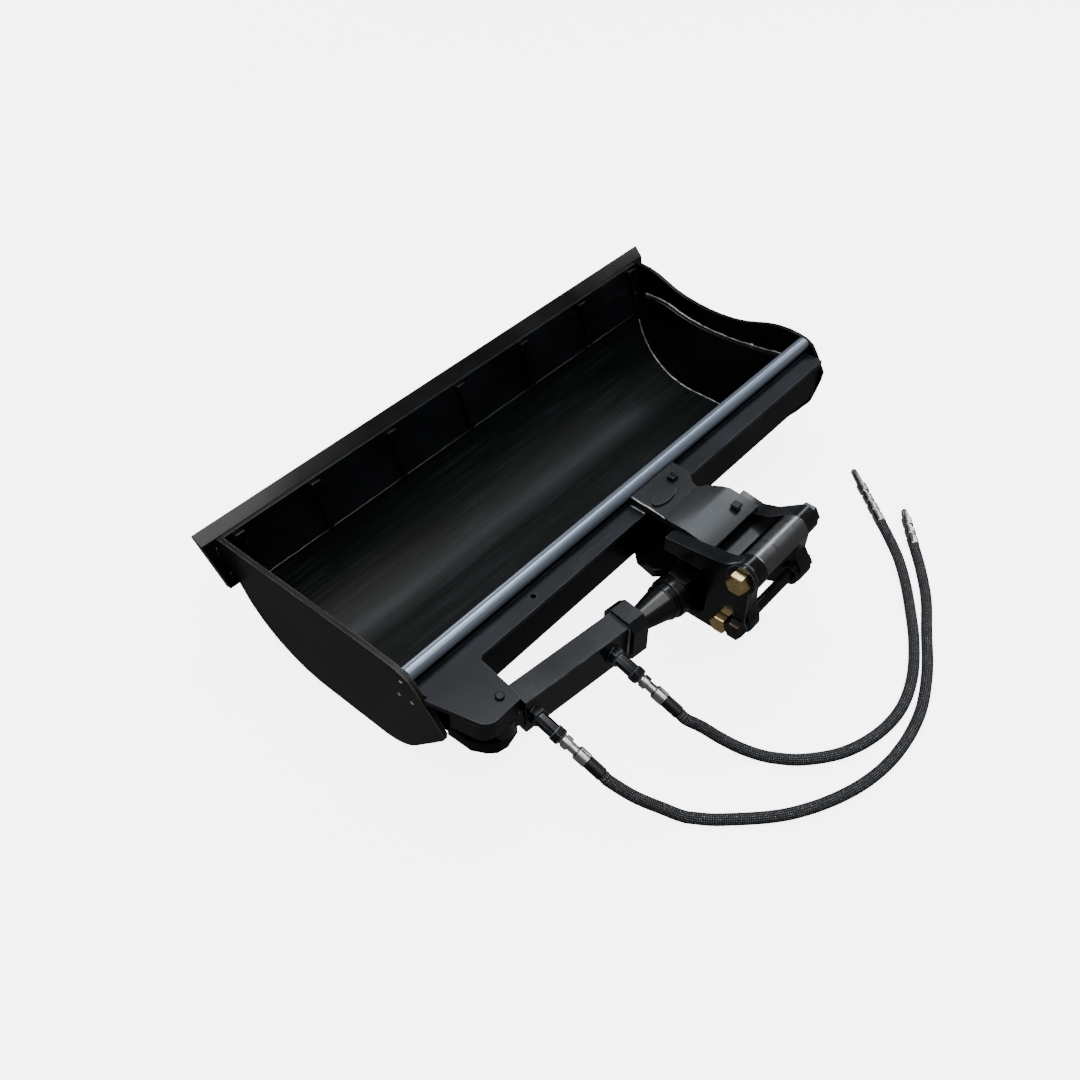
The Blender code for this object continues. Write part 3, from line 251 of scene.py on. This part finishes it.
def braidedSleeve(name):
    # woven polyester sleeve on the hose; u runs along it, v round it, both in metres; its crossings are painted
    # lighter than the hollows between them, a painted highlight and painted shade, with painted glints on the
    # crests
    pitch = 2 * math.pi / 0.0059
    material, tree, shader, place = newMaterial(name)
    run = add(tree, "ShaderNodeUVMap", {"uv_map": "run"})
    part = add(tree, "ShaderNodeSeparateXYZ", None, {"Vector": run.outputs["UV"]})
    waves = []
    for turn in ("ADD", "SUBTRACT"):
        helix = add(tree, "ShaderNodeMath", {"operation": turn}, {0: part.outputs["X"], 1: part.outputs["Y"]})
        phase = add(tree, "ShaderNodeMath", {"operation": "MULTIPLY", 1: pitch}, {0: helix.outputs[0]})
        waves.append(add(tree, "ShaderNodeMath", {"operation": "SINE"}, {0: phase.outputs[0]}))
    weave = add(tree, "ShaderNodeMath", {"operation": "MULTIPLY"},
                {0: waves[0].outputs[0], 1: waves[1].outputs[0]})
    crest = add(tree, "ShaderNodeMapRange", {"From Min": -0.3, "From Max": 0.8}, {"Value": weave.outputs[0]})
    # painted glints: white specks scattered over the weave's crests
    glint_noise = add(tree, "ShaderNodeTexNoise", {"Scale": 900, "Detail": 2}, {"Vector": place})
    glint_spot = add(tree, "ShaderNodeMapRange", {"From Min": 0.56, "From Max": 0.66},
                 {"Value": glint_noise.outputs["Fac"]})
    painted_glint = add(tree, "ShaderNodeMath", {"operation": "MULTIPLY"},
                  {0: glint_spot.outputs["Result"], 1: crest.outputs["Result"]})
    # painted highlight and painted shade: the weave's crests lighter, the hollows between them dark
    base = add(tree, "ShaderNodeMix", {"data_type": "RGBA", 6: linear("#030303"), 7: linear("#4a4d52")},
               {0: crest.outputs["Result"]})
    base = add(tree, "ShaderNodeMix", {"data_type": "RGBA", 7: linear("#b9bcc0")},
               {0: painted_glint.outputs[0], 6: base.outputs[2]})
    gloss = add(tree, "ShaderNodeMapRange", {"To Min": 0.70, "To Max": 0.36},
                {"Value": crest.outputs["Result"]})
    lift = add(tree, "ShaderNodeBump", {"Strength": 0.9, "Distance": 0.0009}, {"Height": weave.outputs[0]})
    plug(tree, shader, {"Specular IOR Level": 0.4},
         {"Base Color": base.outputs[2], "Roughness": gloss.outputs["Result"],
          "Normal": lift.outputs["Normal"]})
    return material


def softRubber(name):
    # moulded nitrile, and the black heat-shrink on the hose ends
    material, tree, shader, place = newMaterial(name)
    grain = add(tree, "ShaderNodeTexNoise", {"Scale": 700, "Detail": 2}, {"Vector": place})
    lift = add(tree, "ShaderNodeBump", {"Strength": 0.2, "Distance": 0.0001},
               {"Height": grain.outputs["Fac"]})
    plug(tree, shader, {"Base Color": linear("#0a0a0b"), "Roughness": 0.36, "Specular IOR Level": 0.45},
         {"Normal": lift.outputs["Normal"]})
    return material


def groundCard(name):
    # a lit white card under the object
    material, tree, shader, place = newMaterial(name)
    plug(tree, shader, {"Base Color": linear("#ffffff"), "Roughness": 0.9, "Specular IOR Level": 0.0,
                        "Emission Color": (1, 1, 1, 1), "Emission Strength": studio["groundGlow"]})
    return material


finishes = {}


def makeFinishes():
    for look in paints:
        finishes[look] = sprayedPaint(look + "_enamel", look)
    for look in metals:
        finishes[look] = bareMetal(look + "_steel", look)
    finishes["floor"] = rolledFloor("rolled_floor_enamel")
    finishes["rubber"] = softRubber("moulded_rubber")
    finishes["braid"] = braidedSleeve("braided_polyester")
    finishes["ground"] = groundCard("white_card")


# which look each part gets, and so which painted light, painted shade or painted sheen its colour carries
nodeFinish = {
    "front_plate": "wall", "floor_shell": "floor", "side_plate_left": "end_plate_painted_floor_reflection", "rim_bar": "bar",
    "beam_top_plate": "beam_top_painted_sky_tint", "beam_angle": "shade", "side_plate_right": "shade", "foot_lug_skirt": "satin_painted_light",
    "foot_lug_plate": "shade", "foot_pin": "satin_painted_light", "pivot_lug_top": "satin_painted_light", "pivot_pin": "oiled",
    "pin_lock_plate": "satin_painted_light", "lock_bolt": "cover", "head_ear_left": "cover", "tube_bush": "bronze",
    "foot_bush": "bronze", "rod_end_pin": "oiled", "head_cover": "cover", "cover_bolt": "satin_painted_light",
    "keeper_strap": "cover", "pin_one_nut": "gold", "pin_two_nut": "oiled", "stop_bolt": "gold",
    "pin_one_sleeve": "turned", "barrel_box": "cover", "rod_wiper": "rubber", "port_elbow_outer": "cover",
    "port_elbow_inner": "cover", "hose_end_outer": "zinc", "hose_end_inner": "zinc",
    "hose_coupler_outer": "zinc", "hose_coupler_inner": "zinc", "piston_rod": "chrome", "piston": "turned",
}
corners = {"plate": 0.0010, "small": 0.0004, "steps": 2, "sharp": 34,
           "fineNodes": ("hose_", "rod_", "tube_bush", "foot_bush", "piston", "cover_bolt", "lock_bolt",
                         "pin_one_nut", "pin_two_nut", "stop_bolt", "port_")}
shapes = {}


def roundedCopy(name, body):
    # the node's shape with its flat faces whole, its corners rounded and its curves shaded smooth
    form = bmesh.new()
    form.from_mesh(nodes[name].data)
    bmesh.ops.remove_doubles(form, verts=form.verts, dist=0.00002)
    bmesh.ops.dissolve_limit(form, angle_limit=math.radians(0.5), verts=form.verts, edges=form.edges)
    mesh = bpy.data.meshes.new(name + "_shape")
    form.to_mesh(mesh)
    form.free()
    mesh.transform(nodes[name].matrix_world)
    mesh.polygons.foreach_set("use_smooth", [True] * len(mesh.polygons))
    mesh.set_sharp_from_angle(angle=math.radians(corners["sharp"]))
    mesh.materials.clear()
    mesh.materials.append(finishes[nodeFinish.get(name, "gloss")])
    piece = bpy.data.objects.new(name + "_shape", mesh)
    scene.collection.objects.link(piece)
    bevel = piece.modifiers.new("corners", "BEVEL")
    bevel.width = corners["small"] if name.startswith(corners["fineNodes"]) else corners["plate"]
    bevel.segments = corners["steps"]
    bevel.limit_method = "ANGLE"
    bevel.angle_limit = math.radians(corners["sharp"])
    bevel.use_clamp_overlap = True
    weighted = piece.modifiers.new("flats", "WEIGHTED_NORMAL")
    weighted.keep_sharp = False
    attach(piece, body)
    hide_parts(name)
    shapes[name] = piece
    return piece


def makeShapes():
    for body, names in record["behaviour"]["bodies"].items():
        for name in names:
            if name not in ("hose_outer", "hose_inner"):
                roundedCopy(name, body)


# hoses: braided sleeves on the routes of their solids
hoseSizes = {"radius": 0.0086, "rest": 0.0092, "wave": 0.0059, "ripple": 0.0009}
liftY = 0.293
liftZ = 0.200
restZ = hoseSizes["rest"] - liftZ
routes = {
    "hose_outer": [(-0.3407, -0.6297, -0.1525), (-0.3195, -0.6580, -0.1745), (-0.2990, -0.6880, restZ),
                   (-0.2720, -0.7240, restZ), (-0.209, -0.784, restZ), (-0.130, -0.826, restZ),
                   (-0.048, -0.844, restZ), (0.040, -0.838, restZ), (0.118, -0.811, restZ),
                   (0.190, -0.773, restZ), (0.250, -0.741, restZ), (0.300, -0.706, restZ),
                   (0.3420, -0.6720, restZ)],
    "hose_inner": [(-0.2000, -0.6330, -0.1455), (-0.1835, -0.6590, -0.1680), (-0.1660, -0.6860, -0.1865),
                   (-0.1500, -0.7190, restZ), (-0.1240, -0.7540, restZ), (-0.078, -0.789, restZ),
                   (-0.020, -0.809, restZ), (0.040, -0.812, restZ), (0.100, -0.797, restZ),
                   (0.160, -0.768, restZ), (0.210, -0.736, restZ), (0.258, -0.702, restZ),
                   (0.300, -0.667, restZ), (0.332, -0.633, restZ), (0.3550, -0.6060, restZ)],
}
fitting = Vector((0.13, -1.0, -0.52)).normalized()
boom = math.atan2(-0.505 + 0.459, -0.010 + 0.405)


def cylPoint(s, t):
    # a point s along the cylinder from its foot pin, t across it
    x = -0.405 + s * math.cos(boom) - t * math.sin(boom)
    y = -0.459 + s * math.sin(boom) + t * math.cos(boom)
    return Vector((x, y, -0.0768))


def smoothPath(route, count):
    # an even reading of a Catmull-Rom curve through the route's points
    pts = np.array([tuple(p) for p in route])
    pts = np.vstack([2 * pts[0] - pts[1], pts, 2 * pts[-1] - pts[-2]])
    u = np.linspace(0, 1, 24, endpoint=False)[:, None, None]
    a, b, c, d = pts[:-3], pts[1:-2], pts[2:-1], pts[3:]
    curve = 0.5 * (2 * b + (c - a) * u + (2 * a - 5 * b + 4 * c - d) * u ** 2 + (3 * b - a - 3 * c + d) * u ** 3)
    dense = np.vstack([curve.transpose(1, 0, 2).reshape(-1, 3), pts[-2]])
    run = np.concatenate([[0], np.cumsum(np.linalg.norm(np.diff(dense, axis=0), axis=1))])
    want = np.linspace(0, run[-1], count)
    return np.stack([np.interp(want, run, dense[:, k]) for k in range(3)], axis=1)


def frames(path):
    # tangents, and two cross directions carried along the path without twist
    tangent = np.gradient(path, axis=0)
    tangent /= np.linalg.norm(tangent, axis=1)[:, None]
    up = np.array([0.0, 0.0, 1.0])
    side = np.cross(tangent, up)
    side /= np.linalg.norm(side, axis=1)[:, None]
    return tangent, side, np.cross(side, tangent)


def gridPiece(name, points, material, closedRound=True, caps=True, uv=None):
    # a piece from a grid of points: rows along it, columns round it
    rows, cols = points.shape[:2]
    index = np.arange(rows * cols).reshape(rows, cols)
    nextCol = np.roll(index, -1, axis=1) if closedRound else index[:, 1:]
    a = index if closedRound else index[:, :-1]
    quads = np.stack([a[:-1], nextCol[:-1], nextCol[1:], a[1:]], axis=-1).reshape(-1, 4)
    faces = [tuple(q) for q in quads.tolist()]
    if caps:
        faces.append(tuple(index[0][::-1].tolist()))
        faces.append(tuple(index[-1].tolist()))
    mesh = bpy.data.meshes.new(name)
    mesh.from_pydata(points.reshape(-1, 3).tolist(), [], faces)
    mesh.update()
    mesh.materials.append(material)
    mesh.polygons.foreach_set("use_smooth", [True] * len(mesh.polygons))
    if uv is not None:
        layer = mesh.uv_layers.new(name="run")
        flat = uv.reshape(-1, 2)
        corner = np.zeros(len(mesh.loops), dtype=np.int32)
        mesh.loops.foreach_get("vertex_index", corner)
        layer.data.foreach_set("uv", flat[corner].ravel())
    piece = bpy.data.objects.new(name, mesh)
    scene.collection.objects.link(piece)
    return piece


def tubeOnPath(name, path, radius, material, sides=32, ripple=0.0, wave=0.0059):
    # p + r (cos a * side + sin a * up): a round tube; the braid lifts its skin on crossing helices
    tangent, side, up = frames(path)
    angle = np.linspace(0, 2 * np.pi, sides, endpoint=False)
    run = np.concatenate([[0], np.cumsum(np.linalg.norm(np.diff(path, axis=0), axis=1))])
    roundWay = angle * radius
    lift = np.sin((run[:, None] + roundWay) * 2 * np.pi / wave) * np.sin((run[:,
                                                                              None] - roundWay) * 2 * np.pi / wave)
    r = radius - ripple * (0.5 - 0.5 * lift)
    points = path[:, None] + r[..., None] * (np.cos(angle)[None, :, None] * side[:, None]
                                             + np.sin(angle)[None, :, None] * up[:, None])
    uv = np.stack(np.broadcast_arrays(run[:, None], roundWay[None]), axis=-1)
    return gridPiece(name, points, material, uv=uv)


def blackSleeve(ferrule, start):
    # the last part of the hose end, next to the braid, is a black shrink sleeve
    mesh = ferrule.data
    mesh.materials.append(finishes["rubber"])
    centre = np.zeros(len(mesh.polygons) * 3)
    mesh.polygons.foreach_get("center", centre)
    along = (centre.reshape(-1, 3) - np.array(start)) @ np.array(fitting)
    mesh.polygons.foreach_set("material_index", (along > 0.0425).astype(np.int32))


def makeHoses():
    lengths = {}
    for label, s in (("outer", 0.040), ("inner", 0.183)):
        name = "hose_" + label
        outlet = cylPoint(s, -0.0393) + fitting * 0.030
        start = outlet + fitting * (0.0003 + 0.069 + 0.0003)
        route = [start, start + fitting * 0.012] + [Vector(p) for p in routes[name]]
        move = np.array([0, liftY, liftZ])
        path = smoothPath(route, 620) + move
        path[:, 2] = np.maximum(path[:, 2], hoseSizes["rest"])
        piece = tubeOnPath("braided_" + name, path, hoseSizes["radius"], finishes["braid"], 40,
                           hoseSizes["ripple"], hoseSizes["wave"])
        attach(piece, "barrel")
        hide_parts(name)
        run = float(np.linalg.norm(np.diff(path, axis=0), axis=1).sum())
        lengths[name] = run
        ferrule = shapes["hose_end_" + label]
        blackSleeve(ferrule, outlet + Vector(move))
    print("hoses", {k: round(v, 3) for k, v in lengths.items()})


# weld beads: ripples laid along the seams, thickened on a regular pitch; the light beads on the liner top edges
# and the lug's left edge are painted highlight lines
weldLook = {"pitch": 0.0032, "swell": 0.20}


def weldBead(name, route, radius, body, material=None, count=None, wander=0.0002):
    # r = radius (1 + swell |sin|): a tube whose radius pulses once for each ripple, its path wandering a little
    run = sum((Vector(b) - Vector(a)).length for a, b in zip(route, route[1:]))
    count = count or max(12, int(run / 0.0011))
    path = smoothPath(route, count) + np.array([0, liftY, liftZ])
    along = np.linspace(0, run, count)
    seed = sum(ord(letter) for letter in name)
    wave = np.sin(along * 170 + seed) * np.sin(along * 61 + seed * 0.7)
    path = path + wave[:, None] * wander
    tangent, side, up = frames(path)
    angle = np.linspace(0, 2 * np.pi, 12, endpoint=False)
    pulse = 1 + weldLook["swell"] * np.abs(np.sin(along * np.pi / weldLook["pitch"])) - weldLook["swell"] * 0.5
    taper = np.clip(np.minimum(along, run - along) / (radius * 1.5), 0.25, 1)
    r = radius * pulse * taper * (1 + 0.15 * wave)
    points = path[:, None] + r[:, None, None] * (np.cos(angle)[None, :, None] * side[:, None]
                                                 + np.sin(angle)[None, :, None] * up[:, None])
    piece = gridPiece(name, points, material or finishes["weld"])
    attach(piece, body)
    return piece


shellArc = {"frontY": -0.165, "frontZ": -0.0476, "frontR": 0.1444, "rearY": -0.285, "rearZ": -0.110,
            "rearR": 0.082}


def floorSection(count):
    # the inner floor line from the front plate round to the rear: two arcs
    a = np.radians(np.linspace(-15, -90, count))
    b = np.radians(np.linspace(-90, -172, count))
    front = np.stack([shellArc["frontY"] + shellArc["frontR"] * np.cos(a),
                      shellArc["frontZ"] + shellArc["frontR"] * np.sin(a)], axis=1)
    rear = np.stack([shellArc["rearY"] + shellArc["rearR"] * np.cos(b),
                     shellArc["rearZ"] + shellArc["rearR"] * np.sin(b)], axis=1)
    return np.vstack([front, rear])


linerTop = [(-0.036, -0.049), (-0.055, -0.0475), (-0.074, -0.048), (-0.092, -0.051), (-0.109, -0.055),
            (-0.126, -0.058), (-0.144, -0.0605), (-0.178, -0.062), (-0.205, -0.0615), (-0.227, -0.060),
            (-0.263, -0.056), (-0.290, -0.052), (-0.312, -0.048), (-0.350, -0.044)]


def makeWelds():
    for side, label in ((-1, "left"), (1, "right")):
        def inside(y, z, inset):
            return (side * (0.474 - inset + 0.075 * z), y, z)
        floor = [inside(y, z, 0.0172) for y, z in floorSection(14) if z < -0.086]
        weldBead("floor_weld_" + label, floor, 0.0013, "bucket")
        # a light weld bead on each liner's top edge, also a painted highlight line along that edge
        top = [inside(y, z + 0.0008, 0.0088) for y, z in linerTop]
        weldBead("liner_weld_" + label, top, 0.0012, "bucket")
        front = [inside(-0.0010 + 0.3012 * z, z, 0.0090) for z in (-0.008, -0.030, -0.055, -0.080)]
        weldBead("corner_weld_" + label, front, 0.0012, "bucket", finishes["gloss"])
        for number, (y, z) in enumerate(((-0.036, -0.050), (-0.262, -0.056))):
            blob = [inside(y + 0.006, z, 0.0085), inside(y, z + 0.001, 0.0075), inside(y - 0.007, z, 0.0085)]
            weldBead("liner_tack_%s_%d" % (label, number), blob, 0.0030, "bucket")
        edge = [(side * 0.4775, 0.0015 + 0.3012 * z + 0.008, z) for z in (-0.012, -0.030)]
        weldBead("edge_tack_top_" + label, edge, 0.0030, "bucket", finishes["gloss"])
        edge = [(side * (0.4775 + 0.075 * -0.06), 0.0015 + 0.3012 * z + 0.008, z) for z in (-0.055, -0.070)]
        weldBead("edge_tack_low_" + label, edge, 0.0030, "bucket", finishes["gloss"])
    seam = [(x, -0.0262, -0.0842) for x in np.linspace(-0.452, 0.452, 30)]
    weldBead("front_seam_weld", seam, 0.0011, "bucket", finishes["gloss"], count=900)
    barFoot = [(x, -0.3585, -0.0212) for x in np.linspace(-0.460, 0.460, 24)]
    weldBead("rim_bar_weld", barFoot, 0.0012, "bucket", finishes["gloss"], count=900)
    ribs = [-0.444] + [0.1527 * k for k in (-2, -1, 0, 1, 2)] + [0.444]
    for number, x in enumerate(ribs):
        for part, (z0, z1) in enumerate(((-0.020, -0.036), (-0.062, -0.076))):
            tack = [(x + 0.0050, -0.0022 + 0.3012 * z - 0.0010, z) for z in (z0, (z0 + z1) / 2, z1)]
            weldBead("rib_tack_%d_%d" % (number, part), tack, 0.0019, "bucket", finishes["gloss"])
    # painted highlight: a light bead along the rounded left edge of the lug
    lug = [(-0.0235, -0.369, -0.0105), (-0.0250, -0.385, -0.0105), (-0.0248, -0.405, -0.0115),
           (-0.0252, -0.425, -0.0125), (-0.0250, -0.440, -0.0170)]
    weldBead("lug_edge_left", lug, 0.0013, "bucket")
    foot = [(-0.0245, -0.3685, -0.0262), (-0.0248, -0.382, -0.0262), (-0.0245, -0.3965, -0.0262)]
    weldBead("lug_foot_weld", foot, 0.0016, "bucket")
    gusset = [(-0.0195, -0.3975, -0.090), (-0.010, -0.3975, -0.0915), (0.030, -0.3978, -0.0915)]
    weldBead("gusset_weld", gusset, 0.0024, "bucket", finishes["gloss"])
    gland = [cylPoint(0.2125, t) for t in (-0.0195, -0.0195)]
    ring = [Vector((p.x, p.y, z)) for p, z in zip(gland, (-0.106, -0.048))]
    weldBead("gland_weld", ring, 0.0018, "barrel")
    for label, s in (("outer", 0.040), ("inner", 0.183)):
        centre = cylPoint(s, -0.0196)
        loop = [centre + Vector((math.cos(a) * 0.0133, 0, math.sin(a) * 0.0133))
                for a in np.linspace(0, 2 * math.pi, 15)]
        weldBead("port_weld_" + label, loop, 0.0014, "barrel", finishes["gloss"])
    for number, (y, z) in enumerate(((-0.352, -0.016), (-0.366, -0.050), (-0.343, -0.052))):
        spot = [(-0.4744 - 0.075 * z, y, z), (-0.4746 - 0.075 * z, y - 0.003, z - 0.002),
                (-0.4744 - 0.075 * z, y - 0.006, z - 0.001)]
        weldBead("plate_tack_%d" % number, spot, 0.0012, "bucket", count=14)


studio = {"world": 0.12, "groundGlow": 5.0}
lamps = {
    "big_panel": {"place": (-0.9, -0.7, 4.0), "aim": (-0.9, -0.7, 0), "size": (5.2, 5.2), "power": 225,
                  "tint": (1, 1, 1)},
    "bar_strip": {"place": (1.65, 0.45, 2.3), "aim": (1.65, 0, 0.1), "size": (3.4, 0.45), "power": 26,
                  "tint": (0.86, 0.93, 1)},
    "far_panel": {"place": (0.6, 3.4, 1.0), "aim": (0, 0.2, 0.1), "size": (2.4, 0.8), "power": 22,
                  "tint": (0.9, 0.95, 1)},
    "right_panel": {"place": (3.0, -0.6, 1.2), "aim": (0.2, -0.2, 0.1), "size": (0.8, 1.8), "power": 14,
                    "tint": (1, 1, 1)},
}


def makeStudio():
    corner = [[[-9, -9, -0.0006], [9, -9, -0.0006]], [[-9, 9, -0.0006], [9, 9, -0.0006]]]
    ground = gridPiece("ground", np.array(corner, dtype=float), finishes["ground"], closedRound=False,
                       caps=False)
    # the card is seen by the eye only, so that it puts no light or reflection on the paint
    ground.visible_glossy = False
    ground.visible_diffuse = False
    world = bpy.data.worlds.new("studio")
    world.use_nodes = True
    world.node_tree.nodes["Background"].inputs[0].default_value = (1, 1, 1, 1)
    world.node_tree.nodes["Background"].inputs[1].default_value = studio["world"]
    scene.world = world
    for name, values in lamps.items():
        lamp = bpy.data.lights.new(name, "AREA")
        lamp.shape = "RECTANGLE"
        lamp.size, lamp.size_y = values["size"]
        lamp.energy = values["power"]
        lamp.color = values["tint"]
        holder = bpy.data.objects.new(name, lamp)
        holder.location = values["place"]
        away = Vector(values["aim"]) - Vector(values["place"])
        holder.rotation_euler = away.to_track_quat("-Z", "Y").to_euler()
        scene.collection.objects.link(holder)


makeCamera()
print("camera")
makeFinishes()
print("finishes")
makeShapes()
print("shapes", len(shapes))
makeHoses()
makeWelds()
print("welds")
makeStudio()
print("studio")
